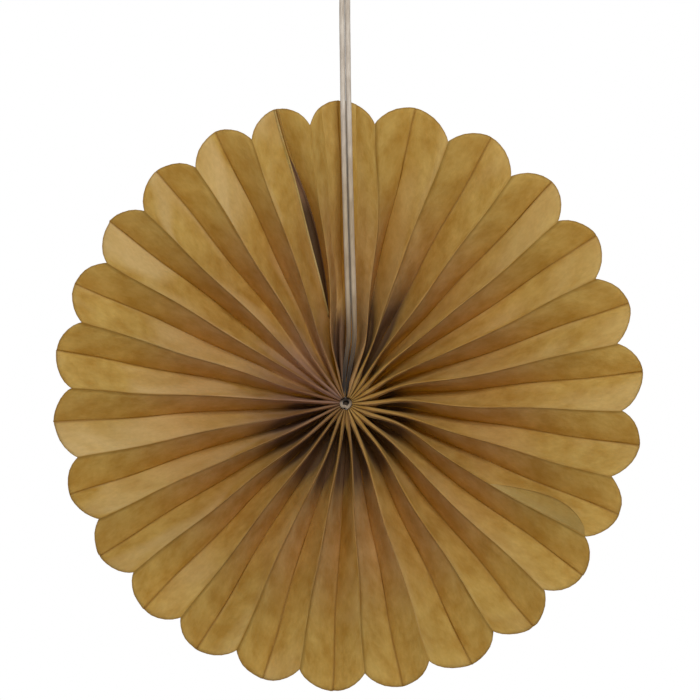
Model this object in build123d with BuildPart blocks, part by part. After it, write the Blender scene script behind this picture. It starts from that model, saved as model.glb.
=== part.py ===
from build123d import *
from math import cos, hypot, radians, sin, sqrt, tan
import os

# Paper fan rosette: one pleated strip of thin paper closed into a ring, with a turn of string at
# its hub and the same string doubled above it, to hang it by.
# Millimetres. The origin is the point inside the hanging loop that bears on a hook, the fan hangs
# below it, and its front faces -Y.

# Paper fan
fan_radius = 76.5  # hub to the tip of a lobe, on average
hub_offset = 1.9  # the pleats are gathered this far off the middle of the outline
longest_lobe_direction = 72  # degrees anticlockwise from the right
lobe_count = 26
first_fold_direction = 84.5  # the mountain fold just right of the string
scallop_depth = 5.2  # from the tips of the lobes in to the notches between them
fold_depth_at_rim = 4.4
paper_thickness = 0.15
hub_hole_radius = 1.75
section_shares = (0.15, 0.35, 0.55, 0.73, 0.88, 1)  # of a lobe's length, where its sections are drawn
# Degrees by which a lobe is narrower or wider than an even share
uneven_lobes = {0: -0.85, 1: -1.6, 2: -1.1, 4: -0.85, 7: 0.6, 15: 1.15, 24: 0.9, 25: 1.9}

# Joints of the strip
seam_lobe = 1  # the valley where the two ends of the strip are glued into a standing flange
flange_height = 3.0
lap_lobe = 18  # the lobe that carries the rounded end of a second length of paper
lap_inner_radius = 49.0
lap_width = 4.5

# String
string_diameter = 1.4
strand_gap = 0.2  # between the two strands
front_clearance = 0.12  # from the front folds to the string
string_rise = 106.0  # from the hub up to the knot
knot_turns = 3
knot_clearance = 0.08
knot_squeeze = 0.1  # each turn of the knot presses this far into the next
loop_width = 11.0
loop_height = 20.0
loop_neck = 2.0  # the strands stay side by side this far above the knot
loop_shoulder_width = 8.0  # across the two upper corners of its route
straight_share = 0.1  # of a run, what its two arcs leave straight
tie_radius = 1.0  # the ring of string that gathers the pleats, pulled thinner there
tie_string_diameter = 1.2
tie_bite = 0.15  # the bend of the doubled string presses this far into the ring
tie_leg = 2.2  # from the bend up to where the free strands begin
string_side_count = 8  # the round section of the string is drawn with this many flats

# Sizes that follow
even_share = (360 - sum(uneven_lobes.values())) / lobe_count
half_share = radians(180 / lobe_count)
pleat_width = hypot(fan_radius * sin(half_share), fold_depth_at_rim)
outer_station = fan_radius + hub_offset + paper_thickness
stations = [hub_hole_radius] + [outer_station * share for share in section_shares]
lap_stations = stations[3:]
string_front = pleat_width / 2 + paper_thickness / 2 + front_clearance + string_diameter / 2
strand_offset = (string_diameter + strand_gap) / 2
knot_pitch = string_diameter - knot_squeeze
loop_base = string_rise + knot_turns * knot_pitch
hub_drop = loop_base + loop_height - string_diameter / 2
fan_plane = Plane(origin=(0, string_front, -hub_drop), x_dir=(1, 0, 0), z_dir=(0, -1, 0))

os.makedirs("parts", exist_ok=True)


def share_of(lobe):
    """Degrees of the ring that a lobe takes."""
    return even_share + uneven_lobes.get(lobe, 0)


def fold_direction(lobe):
    """Direction of the mountain fold where a lobe starts."""
    return first_fold_direction + sum(share_of(earlier) for earlier in range(lobe))


def spoke_plane(direction):
    """The fan's own plane, turned so that x points outwards in that direction."""
    angle = radians(direction)
    return Plane(fan_plane.origin, x_dir=(cos(angle), 0, sin(angle)), z_dir=fan_plane.z_dir)


def plane_across(spoke, distance):
    """Square to a spoke: x runs round the fan and y towards its front."""
    return Plane(spoke.origin + spoke.x_dir * distance, x_dir=spoke.y_dir, z_dir=spoke.x_dir)


def plane_along(spoke):
    """Through a spoke and the fan's axis: x runs outwards and y towards the front."""
    return Plane(spoke.origin, x_dir=spoke.x_dir, z_dir=-spoke.y_dir)


def rim_radius(direction):
    return fan_radius + hub_offset * cos(radians(direction - longest_lobe_direction))


def notch(direction, half_angle, side):
    """Where the outline meets a mountain fold, seen from the middle of its lobe."""
    radius = rim_radius(direction) - scallop_depth
    return (radius * cos(half_angle), side * radius * sin(half_angle))


def fold_depth(radius):
    """A panel keeps its width, so the folds are deep at the hub and open towards the rim."""
    return sqrt(pleat_width**2 - (radius * sin(half_share)) ** 2)


def valley_section(radius, half_angle):
    """Paper between two mountain folds, with the outer side of each fold blunt."""
    reach = radius * sin(half_angle)
    depth = fold_depth(radius)
    slope = hypot(reach, depth)
    crest = depth / 2 + paper_thickness / 2
    land = paper_thickness / 2 * (slope - reach) / depth
    inside = depth / 2 - paper_thickness / 2 * slope / reach
    return [
        (-reach, crest),
        (land - reach, crest),
        (0, -inside),
        (reach - land, crest),
        (reach, crest),
        (reach, inside),
        (land, -crest),
        (-land, -crest),
        (-reach, inside),
    ]


def lap_section(radius, half_angle):
    """A second layer on the panel beside a lobe's first fold, from the middle of the paper out."""
    reach = radius * sin(half_angle)
    depth = fold_depth(radius)
    lift = (paper_thickness / 2 + paper_thickness) / hypot(reach, depth)
    fold = (-reach, depth / 2)
    valley = (0, -depth / 2)
    return [
        (fold[0] + lift * depth, fold[1] + lift * reach),
        (valley[0] + lift * depth, valley[1] + lift * reach),
        valley,
        fold,
    ]


def rings_of(section, spoke, half_angle, radii):
    """The points of a section at each radius, where they lie in the fan."""
    rings = []
    for radius in radii:
        plane = plane_across(spoke, radius * cos(half_angle))
        rings.append([plane.from_local_coords(point) for point in section(radius, half_angle)])
    return rings


def flat_face(points):
    return Face(Wire.make_polygon(points, close=True))


def folded_solid(rings, flat_sides=()):
    """A solid of flat faces through rings of points. The folds beside a panel aren't in one plane, so it
    has a crease from its front fold at each ring to its back fold at the next one out."""
    faces = [flat_face(rings[0]), flat_face(rings[-1])]
    for side in range(len(rings[0])):
        ends = (side, (side + 1) % len(rings[0]))
        if side in flat_sides:
            out, back = [[ring[end] for ring in rings] for end in ends]
            faces.append(flat_face(out + back[::-1]))
            continue
        for inner, outer in zip(rings, rings[1:]):
            front, rear = sorted(ends, key=lambda end: inner[end].Y)
            faces.append(flat_face([inner[front], outer[front], outer[rear]]))
            faces.append(flat_face([inner[front], outer[rear], inner[rear]]))
    return Solid(Shell(faces))


# Lobes: each one is a valley between two mountain folds, cut to a round end
seam_back = [(x, -fold_depth(x) / 2) for x in stations[1:]]
seam_front = [(x, y + flange_height) for x, y in reversed(seam_back)]
lobes = []
for lobe_number in range(lobe_count):
    start = fold_direction(lobe_number)
    share = share_of(lobe_number)
    half_angle = radians(share / 2)
    spoke = spoke_plane(start + share / 2)
    with BuildPart() as lobe:
        add(folded_solid(rings_of(valley_section, spoke, half_angle, stations), flat_sides=(4, 8)))
        if lobe_number == seam_lobe:
            with BuildSketch(plane_along(spoke)):
                with BuildLine():
                    Polyline(*seam_back, *seam_front, close=True)
                make_face()
            extrude(amount=paper_thickness, both=True)
        with BuildSketch(spoke.offset(-pleat_width)):
            with BuildLine():
                right = notch(start, half_angle, -1)
                left = notch(start + share, half_angle, 1)
                Polyline(left, (0, 0), right)
                ThreePointArc(right, (rim_radius(start + share / 2), 0), left)
            make_face()
        extrude(amount=2 * pleat_width, mode=Mode.INTERSECT)
    lobes.append(lobe.part)

# Lap: the rounded end of a second length of paper, glued over the fold beside it
lap_start = fold_direction(lap_lobe)
lap_half_angle = radians(share_of(lap_lobe) / 2)
lap_spoke = spoke_plane(lap_start + share_of(lap_lobe) / 2)
with BuildPart() as lap:
    add(folded_solid(rings_of(lap_section, lap_spoke, lap_half_angle, lap_stations)))
    with BuildSketch(lap_spoke.offset(-pleat_width)):
        with BuildLine():
            outer_end = notch(lap_start, lap_half_angle, -1)
            inner_end = (lap_inner_radius * cos(lap_half_angle), -lap_inner_radius * sin(lap_half_angle))
            middle = (Vector(*outer_end) + Vector(*inner_end)) / 2
            Line(outer_end, inner_end)
            ThreePointArc(
                inner_end,
                (middle.X + lap_width * sin(lap_half_angle), middle.Y + lap_width * cos(lap_half_angle)),
                outer_end,
            )
        make_face()
    extrude(amount=2 * pleat_width, mode=Mode.INTERSECT)

# Paper fan
with BuildPart() as paper_fan:
    add(lobes + [lap.part], clean=False)
paper_fan.part.label = "paper_fan"
export_step(paper_fan.part, "parts/paper_fan.step")

# Hub tie: a ring of string in the mouth of the pleats, and the bend of the doubled string on it
string_plane = fan_plane.offset(string_front)
ring_front = string_front - string_diameter / 2 + tie_bite - tie_string_diameter / 2
with BuildPart() as hub_tie:
    with BuildSketch(plane_along(fan_plane)):
        with Locations((tie_radius, ring_front)):
            RegularPolygon(tie_string_diameter / 2, string_side_count)
    revolve(axis=Axis(fan_plane.origin, fan_plane.z_dir))
    with BuildLine(string_plane) as bend:
        Line((-strand_offset, tie_leg), (-strand_offset, 0))
        CenterArc((0, 0), strand_offset, 180, 180)
        Line((strand_offset, 0), (strand_offset, tie_leg))
    with BuildSketch(Plane(bend.line @ 0, x_dir=string_plane.z_dir, z_dir=bend.line % 0)):
        RegularPolygon(string_diameter / 2, string_side_count)
    sweep(path=bend.line)
hub_tie.part.label = "hub_tie"
export_step(hub_tie.part, "parts/hub_tie.step")

# Hanging string: up from the hub, round the hanging loop and back down beside itself
loop_top = loop_base + loop_height
left_points = [
    (-strand_offset, tie_leg),
    (-strand_offset, loop_base + loop_neck),
    (-loop_width / 2, loop_base + loop_height / 2),
    (-loop_shoulder_width / 2, loop_top),
]
string_points = left_points + [(-x, y) for x, y in reversed(left_points)]


def widest_radius(before, corner, after):
    """The largest arc that its two runs allow."""
    runs = [Vector(*corner) - Vector(*before), Vector(*after) - Vector(*corner)]
    turn = radians(runs[0].get_angle(runs[1]))
    return (1 - straight_share) / 2 * min(run.length for run in runs) / tan(turn / 2)


corners = zip(string_points, string_points[1:], string_points[2:])
bend_radii = [widest_radius(*corner) for corner in corners]
with BuildPart() as hanging_string:
    with BuildLine(string_plane) as route:
        FilletPolyline(*string_points, radius=bend_radii)
    with BuildSketch(Plane(route.line @ 0, x_dir=string_plane.z_dir, z_dir=route.line % 0)):
        RegularPolygon(string_diameter / 2, string_side_count)
    sweep(path=route.line)
hanging_string.part.label = "hanging_string"
export_step(hanging_string.part, "parts/hanging_string.step")
string_length = route.wires()[0].length
print("hanging string: length", round(string_length, 1), "bends", [round(r, 1) for r in bend_radii])

# Top knot: turns of the string round both strands, pressed into each other
turn_radius = string_diameter + knot_clearance
with BuildPart() as top_knot:
    for turn in range(knot_turns):
        height = string_rise + (turn + 0.5) * knot_pitch - hub_drop
        with BuildLine(Plane.XY.offset(height)) as wrap:
            Line((-strand_offset, -turn_radius), (strand_offset, -turn_radius))
            CenterArc((strand_offset, 0), turn_radius, -90, 180)
            Line((strand_offset, turn_radius), (-strand_offset, turn_radius))
            CenterArc((-strand_offset, 0), turn_radius, 90, 180)
        with BuildSketch(Plane((0, -turn_radius, height), x_dir=(0, 0, 1), z_dir=(1, 0, 0))):
            RegularPolygon(string_diameter / 2, string_side_count)
        sweep(path=wrap.line)
top_knot.part.label = "top_knot"
export_step(top_knot.part, "parts/top_knot.step")
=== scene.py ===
"""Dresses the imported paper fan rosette: a strip of kraft tissue pleated into a ring, gathered at its hub by
cotton string, which is doubled above it and hangs it by a small loop."""

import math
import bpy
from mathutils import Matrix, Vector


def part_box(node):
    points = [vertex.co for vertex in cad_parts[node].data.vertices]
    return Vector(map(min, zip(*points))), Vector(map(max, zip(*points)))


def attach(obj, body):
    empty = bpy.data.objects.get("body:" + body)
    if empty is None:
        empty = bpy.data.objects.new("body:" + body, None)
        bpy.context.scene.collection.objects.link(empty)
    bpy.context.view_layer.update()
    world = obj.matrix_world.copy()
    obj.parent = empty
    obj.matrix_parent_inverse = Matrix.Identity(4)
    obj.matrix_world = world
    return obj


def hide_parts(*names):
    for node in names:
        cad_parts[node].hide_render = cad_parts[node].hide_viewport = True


bl_info = {
    "name": "Paper fan rosette",
    "version": (1, 0, 0),
    "blender": (4, 5, 0),
    "location": "View3D > Sidebar > Rosette",
    "description": "Folds the tissue, twists the string and sets the studio round the packed rosette",
    "category": "Object",
}

from bisect import bisect
from collections import namedtuple
from functools import partial

import bpy
from mathutils import Vector
from mathutils.bvhtree import BVHTree

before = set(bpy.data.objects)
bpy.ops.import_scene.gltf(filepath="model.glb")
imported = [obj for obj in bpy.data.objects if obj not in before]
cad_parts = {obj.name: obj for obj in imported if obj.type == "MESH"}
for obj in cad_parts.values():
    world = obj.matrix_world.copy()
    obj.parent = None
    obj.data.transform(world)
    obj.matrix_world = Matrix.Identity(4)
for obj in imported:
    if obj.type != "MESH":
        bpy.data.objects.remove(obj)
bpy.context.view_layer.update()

MM = 0.001

# Places read from the frame, in metres. The hub is in the middle of the fan's depth, and the outside of the
# ring of the tie is this far round it.
FAN_LOW, FAN_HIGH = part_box("paper_fan")
TIE_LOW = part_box("hub_tie")[0]
TIE_RADIUS = 1.6 * MM
HUB = Vector((0, (FAN_LOW[1] + FAN_HIGH[1]) / 2, TIE_LOW[2] + TIE_RADIUS))

# The kinds of node that come up most
MATHS, VECTORS = "ShaderNodeMath", "ShaderNodeVectorMath"
MIX, RANGE = "ShaderNodeMix", "ShaderNodeMapRange"

# A fold runs from the hub to the rim. Directions are degrees anticlockwise from the right, at the rim. A
# fold turns by some degrees nearer the hub and sways halfway out. Its front share is 1 for a mountain fold
# and 0 for a valley, at the rim and near the hub. Its gloom is how far from the hub, in millimetres, a
# valley is painted dark as shade, because the pleats leave it no light.
Fold = namedtuple("Fold", "direction turn sway rim_front hub_front gloom")
MOUNTAIN_DIRECTIONS = (
    109.75, 122.5, 136.5, 149.5, 163, 177, 191.5, 205, 218.5, 232.5, 246, 260, 274,
    288, 303, 316.75, 330.75, 344.5, 358.5, 372.5, 386.5, 400.5, 414, 428.75, 444.5, 457.5,
)
MOUNTAIN_TURNS = (
    3, 4, 3, 1, 2.5, 0, 1, 2.3, 2, 1, 3.5, 2, 2, 2, 3.5, 3, 8, 3.5, 4.5, 5, 3, 3, 1, -3.5, -9.5, 6.5,
)
# The mountain fold right of the string leans over its valley
MOUNTAIN_SWAYS = {444.5: -6}
VALLEY_DIRECTIONS = (
    115.7, 129.3, 142.5, 156.2, 169.7, 183.8, 198.4, 211.8, 225.5, 238.8, 253.2, 267.3,
    281.3, 295.7, 310, 324, 337.7, 351.7, 366, 379.5, 393.8, 407, 421.3, 436.7,
)
VALLEY_GLOOMS = (4, 3, 3, 4, 9, 17, 24, 24, 25, 25, 25, 24, 23, 21, 20, 19, 19, 19, 15, 12, 10, 13, 32, 30)
# The joint: the lip of the strip's glued end, and the dark gap beside it between its second and third fold
JOINT_FOLDS = (
    Fold(103.9, -2, -1.5, 0.1, 0.2, 0), Fold(463.85, -1.5, -1.8, 0.06, 0.12, 0),
    Fold(463.6, 3, -4.2, 0, 0, 18), Fold(463.2, 3.2, -4.4, 0.03, 0, 10),
)
# The gap starts, is widest, narrows and ends this far from the hub
JOINT_GAP = (20 * MM, 26 * MM, 46 * MM, 68 * MM)
# The lip runs between these shares of its fold
LIP_START, LIP_END = 0.28, 0.995
# The lap lies on the panel between these folds, and starts this far inside the rim
LAP_FOLDS = (330.75, 337.7)
LAP_INSET = 0.3 * MM
# Shares of the panel's width: where the lap starts, and how wide it still is at its two ends
LAP_START, LAP_TIP = 0.015, 0.01
# The bulge of its free edge. Below 1, the first moves its widest place out, and the second makes it fuller.
LAP_SKEW, LAP_FULLNESS = 0.8, 0.8
# How much the doubled paper's colour, a painted shade for the light that two layers hold back, shows at the
# rim and at the lap's inner end
LAP_SHADE, LAP_INNER_SHADE = 0.8, 0.15
# In front of the whole fan, where rays to its panels start
IN_FRONT = -0.1
# The valley that the string pulls open
STRING_FOLDS = (
    Fold(448, 0, -2, 0.5, 0.05, 14), Fold(451.5, 4, 0, 0, 0.65, 24), Fold(454.8, 5, 0, 0.55, 0.2, 22),
)
# The gloom of the valleys before the first mountain fold and after the last two, at the joint and the string
JOINT_GLOOM, STRING_GLOOM = 0, 20

# Distances from the hub: where a fold turns most, and where it sways most and how far that reaches
TURN_PEAK = 13 * MM
SWAY_PEAK, SWAY_REACH = 34 * MM, 24 * MM
# A fold wanders by this many degrees, in waves of these lengths
WANDER, WANDER_WAVE, WANDER_LONG_WAVE = 0.3, 6 * MM, 26 * MM
# Close to the hub, folds are pushed off the string's slot: its direction, the push and the push's spread in
# degrees, and how far out it reaches
SLOT_DIRECTION, SLOT_PUSH, SLOT_SPREAD, SLOT_REACH = 90, 12, 60, 7 * MM
# A fold is as deep as it is at the hub up to the first of these, and as deep as at the rim from the second
HUB_DEPTH_END, RIM_DEPTH_START = 12 * MM, 42 * MM
# The valleys on this side are shallower near the hub, by up to this share
SHALLOW_DIRECTION, SHALLOW_SHARE = 140, 0.8
# The pleats are pressed shut up to here, further out on this side, and then open over this length
SHUT_RADIUS, SHUT_FURTHER, SHUT_DIRECTION, OPENING = 4.5 * MM, 3.5 * MM, 30, 3 * MM
# Painted shade (gloom), as the paper's material takes it: the share that shut pleats lose, the most of a fold
# and of the gap
SHUT_LOSS, MOST_GLOOM, GAP_GLOOM = 0.92, 12, 20
# The painted shade left of the hub, darker and redder, lies on this side, in full up to the first distance
# and gone at the second
LEFT_SHADE_DIRECTION, LEFT_SHADE_END, LEFT_SHADE_GONE = 160, 12 * MM, 34 * MM
# The painted shade that browns the inner half of the paper, in the same way
INNER_SHADE_END, INNER_SHADE_GONE = 36 * MM, 62 * MM
# Panels that face down get painted shade, and panels that face up the painted sheen
# At a right angle to this direction, panels go over from facing up to facing down. There the cosine of the
# angle to it is 0, and they go over within this much of that.
LEE_DIRECTION, LEE_BAND = 12, 1 / 6
# Crests are plumper on this side, and slimmer on the other, by this share
PLUMP_DIRECTION, PLUMP_SWING = 10, 0.3


def linear(colour):
    """An sRGB hex colour as the linear values that a colour socket takes."""
    shares = [int(colour[start:start + 2], 16) / 255 for start in (1, 3, 5)]
    return [share / 12.92 if share <= 0.04045 else ((share + 0.055) / 1.055) ** 2.4 for share in shares]


def rgba(colour):
    return (*colour, 1)


def add_node(tree, kind, *values, named=None, **settings):
    """Adds a node with its settings, and fills or links its inputs in order or by name. Gives its output."""
    node = tree.nodes.new(kind)
    for name, value in settings.items():
        setattr(node, name, value)
    inputs = [socket for socket in node.inputs if socket.enabled]
    pairs = list(zip(inputs, values))
    pairs += [(next(i for i in inputs if i.name == name), value) for name, value in (named or {}).items()]
    for socket, value in pairs:
        if isinstance(value, bpy.types.NodeSocket):
            tree.links.new(value, socket)
        elif value is not None:
            socket.default_value = value
    return next((socket for socket in node.outputs if socket.enabled), None)


def geometry_tree(name, inputs):
    """An empty tree with its named inputs, each given as name, socket type and default. Gives the tree, the
    function that adds a node to it, and its inputs by name."""
    tree = bpy.data.node_groups.new(name, "GeometryNodeTree")
    tree.interface.new_socket("Geometry", in_out="INPUT", socket_type="NodeSocketGeometry")
    tree.interface.new_socket("Geometry", in_out="OUTPUT", socket_type="NodeSocketGeometry")
    for label, kind, default in inputs:
        socket = tree.interface.new_socket(label, in_out="INPUT", socket_type=kind)
        if default is not None:
            socket.default_value = default
    given = tree.nodes.new("NodeGroupInput").outputs
    return tree, partial(add_node, tree), {socket.name: socket for socket in given}


def finish_tree(tree, geometry, material):
    """Ends a tree in real, smooth-shaded geometry with its material."""
    add = partial(add_node, tree)
    smooth = add("GeometryNodeSetShadeSmooth", geometry)
    real = add("GeometryNodeRealizeInstances", smooth)
    dressed = add("GeometryNodeSetMaterial", real, named={"Material": material})
    tree.links.new(dressed, tree.nodes.new("NodeGroupOutput").inputs[0])


def grown_mesh(name, source, tree, values):
    """Runs a tree on a source mesh and gives the result as a plain mesh."""
    host = bpy.data.objects.new(name, source)
    bpy.context.scene.collection.objects.link(host)
    modifier = host.modifiers.new(tree.name, "NODES")
    modifier.node_group = tree
    for item in tree.interface.items_tree:
        if item.item_type == "SOCKET" and item.in_out == "INPUT" and item.name in values:
            modifier[item.identifier] = values[item.name]
    mesh = plain_mesh(host)
    bpy.data.objects.remove(host)
    if not mesh.polygons:
        raise RuntimeError(f"{tree.name} made no faces for {name}")
    return mesh


def plain_mesh(host):
    """What an object looks like with its modifiers, as a mesh of its own."""
    return bpy.data.meshes.new_from_object(host.evaluated_get(bpy.context.evaluated_depsgraph_get()))


def new_piece(name, mesh, nodes):
    """A piece of the object, which rides on the body and stands for CAD nodes."""
    mesh.name = name
    piece = bpy.data.objects.new(name, mesh)
    bpy.context.scene.collection.objects.link(piece)
    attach(piece, "root")
    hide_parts(*nodes)
    return piece


# Materials


def new_material(name):
    """An empty material, and the function that adds a node to it."""
    material = bpy.data.materials.new(name)
    material.use_nodes = True
    material.node_tree.nodes.clear()
    return material, partial(add_node, material.node_tree)


def kraft_tissue(settings):
    """Kraft tissue, glazed on one side: thin unbleached wood-pulp paper, calendered. It gives a soft golden
    brown with cloudy fibres, a faint waxy gloss on its glazed side, and a warm glow where light comes
    through it."""
    material, add = new_material("Glazed kraft tissue paper")
    sheet = add("ShaderNodeUVMap", uv_map="strip")
    # Clouds of fibre, single fibres drawn 0.5 mm wide because real ones are too fine, patches where the glaze
    # is thicker and paler, stains, and small wrinkles that the mesh is too coarse for
    grain = {}
    for name, wide, long, detail, roughness, distortion in (
        ("clouds", 3 * MM, 6 * MM, 5.0, 0.62, 0.0),
        ("fibres", 0.5 * MM, 1.5 * MM, 3.0, 0.6, 0.0),
        ("glaze", 9 * MM, 28 * MM, 2.5, 0.5, 0.6),
        ("stains", 22 * MM, 22 * MM, 2.0, 0.5, 0.0),
        ("wrinkles", 2 * MM, 2 * MM, 4.0, 0.5, 0.0),
    ):
        sized = add("ShaderNodeMapping", sheet, named={"Scale": (1 / wide, 1 / long, 1)})
        grain[name] = add(
            "ShaderNodeTexNoise", sized,
            named={"Scale": 1.0, "Detail": detail, "Roughness": roughness, "Distortion": distortion},
        )
    facts = {
        name: add("ShaderNodeAttribute", attribute_name=name).node.outputs["Fac"]
        for name in ("front_share", "out", "gloomy", "blushing", "leeward", "downhill", "inner", "doubled")
    }

    cloudy = add(RANGE, grain["clouds"], 0.35, 0.65, 0.0, 1.0)
    body = add(MIX, cloudy, rgba(settings.paper_dark), rgba(settings.paper), data_type="RGBA")
    # Pale glaze patches, with a painted sheen: they are painted on panels that face up to the light, and are
    # thickest over the first 140 mm of the strip
    glaze_sheen = add(RANGE, grain["glaze"], 0.44, 0.64, 0.0, 1.0)
    lit_side_share = add(RANGE, facts["downhill"], 0.0, 1.0, 1.0, 0.1)
    strip_x = add("ShaderNodeSeparateXYZ", sheet)
    thinner = add(RANGE, strip_x, 0.14, 0.2, 1.0, 0.45)
    for share in (lit_side_share, thinner):
        glaze_sheen = add(MATHS, glaze_sheen, share, operation="MULTIPLY")
    body = add(MIX, glaze_sheen, body, rgba(settings.paper_glaze_sheen), data_type="RGBA")
    # Painted shade where the lap lies doubled on the paper, which lets less light through
    body = add(MIX, facts["doubled"], body, rgba(settings.paper_doubled_shade), data_type="RGBA")
    streaks = add(RANGE, grain["fibres"], 0.35, 0.7, 0.91, 1.07)
    stain = add(RANGE, grain["stains"], 0.3, 0.7, 0.92, 1.07)
    shade = add(MATHS, streaks, stain, operation="MULTIPLY")
    body = add(VECTORS, body, named={"Scale": shade}, operation="SCALE")
    # Painted shade: valley creases are darker and redder, as shade in the fold, mountain folds a little
    # greyer, dulling the light on their crests, and the cut rim is dark
    valley = add(RANGE, facts["front_share"], 0.0, 0.06, 0.75, 0.0)
    crest_shade = add(RANGE, facts["front_share"], 0.96, 1.0, 0.0, 0.25)
    rim = add(RANGE, facts["out"], 0.995, 0.999, 0.0, 0.5)
    crease_shade_and_rim = add(MATHS, valley, crest_shade, operation="MAXIMUM")
    crease_shade_and_rim = add(MATHS, crease_shade_and_rim, rim, operation="MAXIMUM")
    body = add(MIX, crease_shade_and_rim, body, rgba(settings.paper_crease_shade_and_rim), data_type="RGBA")
    # Painted shade: the side of a pleat that faces down is browner and darker, most of all in a painted
    # shadow line below its mountain fold
    down = add(RANGE, facts["leeward"], 0.2, 1.0, 1.0, 0.9)
    line = add(RANGE, facts["leeward"], 0.9, 0.97, 1.0, 0.6)
    down = add(MATHS, down, line, operation="MULTIPLY")
    body = add(VECTORS, body, named={"Scale": down}, operation="SCALE")
    # Painted shade: the inner half of the paper is browner, in one tint on its panels that face up and a
    # lighter, pinker one on those that face down
    lit_side_tint, shaded_side_tint = (0.97, 0.85, 0.78, 1), (1.08, 0.97, 1.35, 1)
    tone = add(MIX, facts["downhill"], lit_side_tint, shaded_side_tint, data_type="RGBA")
    brown = add(VECTORS, body, tone, operation="MULTIPLY")
    body = add(MIX, facts["inner"], body, brown, data_type="RGBA")
    # Painted shade: left of the hub it is darker and redder
    left_shaded = add(VECTORS, body, (0.5, 0.44, 0.85), operation="MULTIPLY")
    body = add(MIX, facts["blushing"], body, left_shaded, data_type="RGBA")
    # Painted shade: the folds leave the depth of the pleats near the hub hardly any light, and the gap at the
    # joint none, so these are painted dark and black
    dark = add(RANGE, facts["gloomy"], 0.4, 1.4, 0.0, 0.84, interpolation_type="SMOOTHSTEP")
    colour = add(MIX, dark, body, rgba(settings.paper_depth_shade), data_type="RGBA")
    pit = add(RANGE, facts["gloomy"], 13.0, 18.0, 1.0, 0.3)
    colour = add(VECTORS, colour, named={"Scale": pit}, operation="SCALE")

    relief = add(MATHS, grain["fibres"], 0.35, grain["wrinkles"], operation="MULTIPLY_ADD")
    normal = add("ShaderNodeBump", named={"Strength": 0.6, "Distance": 0.0002, "Height": relief})
    gloss = add(RANGE, grain["glaze"], 0.4, 0.7, 0.62, 0.4)
    surface = add(
        "ShaderNodeBsdfPrincipled",
        named={"Base Color": colour, "Roughness": gloss, "Normal": normal, "Specular IOR Level": 0.07},
    )
    glow = add("ShaderNodeBsdfTranslucent", named={"Color": rgba(settings.paper_glow), "Normal": normal})
    see_through = add(
        MATHS, dark, -settings.paper_translucency, settings.paper_translucency,
        operation="MULTIPLY_ADD",
    )
    paper = add("ShaderNodeMixShader", see_through, surface, glow)
    add("ShaderNodeOutputMaterial", paper)
    return material


def cotton_string(settings):
    """Undyed cotton string, spun and plied: matt and slightly hairy, with fine yarns that run along it."""
    material, add = new_material("Plied cotton string")
    cord = add("ShaderNodeUVMap", uv_map="cord")
    # Yarns 0.25 mm wide that run along the string
    yarns = add("ShaderNodeMapping", cord, named={"Scale": (1 / 0.00025, 1 / 0.004, 1)})
    lines = add("ShaderNodeTexNoise", yarns, named={"Scale": 1.0, "Detail": 3.0})
    slubs = add("ShaderNodeTexNoise", cord, named={"Scale": 1 / 0.006, "Detail": 3.0})
    mixed = add(MATHS, lines, slubs, operation="ADD")
    share = add(RANGE, mixed, 0.75, 1.25, 0.0, 1.0)
    colour = add(MIX, share, rgba(settings.string_shade), rgba(settings.string), data_type="RGBA")
    # Painted shade: it is grey, dim and warmer where it goes down between the pleats, from 28 mm off the hub,
    # and nearly black deep in the hole
    place = add("ShaderNodeTexCoord").node.outputs["Object"]
    _, back, up = add("ShaderNodeSeparateXYZ", place).node.outputs
    dim = add(RANGE, up, HUB.z + 0.006, HUB.z + 0.028, 0.0, 1.0)
    dim = add(MATHS, dim, 1.5, operation="POWER")
    # Painted light: the turn at the hub is kept lighter where it stands at the front of the hole
    hub_front_light = add(RANGE, up, HUB.z + 0.0002, HUB.z + 0.0014, 0.6, 0.0)
    shallow = add(RANGE, back, 0.0006, 0.0022, 1.0, 0.1)
    hub_front_light = add(MATHS, hub_front_light, shallow, operation="MULTIPLY")
    dim = add(MATHS, dim, hub_front_light, operation="MAXIMUM")
    slot_shade_colour = add(VECTORS, colour, (0.05, 0.04, 0.03), operation="MULTIPLY")
    warm = add(MIX, dim, (0.95, 0.75, 0.5, 1), (1, 1, 1, 1), data_type="RGBA")
    colour = add(MIX, dim, slot_shade_colour, colour, data_type="RGBA")
    colour = add(VECTORS, colour, warm, operation="MULTIPLY")
    # Painted light and shade: all of it is duller and warmer in front of the fan, and white above the rim
    over = add(RANGE, up, HUB.z + 0.052, HUB.z + 0.078, 0.0, 1.0)
    over = add(MATHS, over, hub_front_light, operation="MAXIMUM")
    paper_light_tint = add(MIX, over, (0.68, 0.6, 0.47, 1), (1, 1, 1, 1), data_type="RGBA")
    colour = add(VECTORS, colour, paper_light_tint, operation="MULTIPLY")
    # Painted shade: the groove between the two strands is dark, most of all in front of the fan
    groove = add("ShaderNodeAttribute", attribute_name="groove").node.outputs["Fac"]
    depth = add(RANGE, up, HUB.z + 0.06, HUB.z + 0.085, 0.88, 0.3)
    groove = add(MATHS, groove, depth, operation="MULTIPLY")
    lit = add(MATHS, 1.0, groove, operation="SUBTRACT")
    colour = add(VECTORS, colour, named={"Scale": lit}, operation="SCALE")
    normal = add("ShaderNodeBump", named={"Strength": 0.6, "Distance": 0.00012, "Height": lines})
    cotton = add(
        "ShaderNodeBsdfPrincipled",
        named={"Base Color": colour, "Roughness": 0.85, "Sheen Weight": 0.25, "Normal": normal},
    )
    add("ShaderNodeOutputMaterial", cotton)
    return material


# Shape of the folded strip


def eased(value, start, end):
    """From 0 to 1, eased, as a value goes from start to end."""
    share = min(max((value - start) / (end - start), 0), 1)
    return share * share * (3 - 2 * share)


def facing(direction, other):
    """How far a direction points the way of another one, from 1 to -1. Both are in degrees."""
    return math.cos(math.radians(direction - other))


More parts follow.
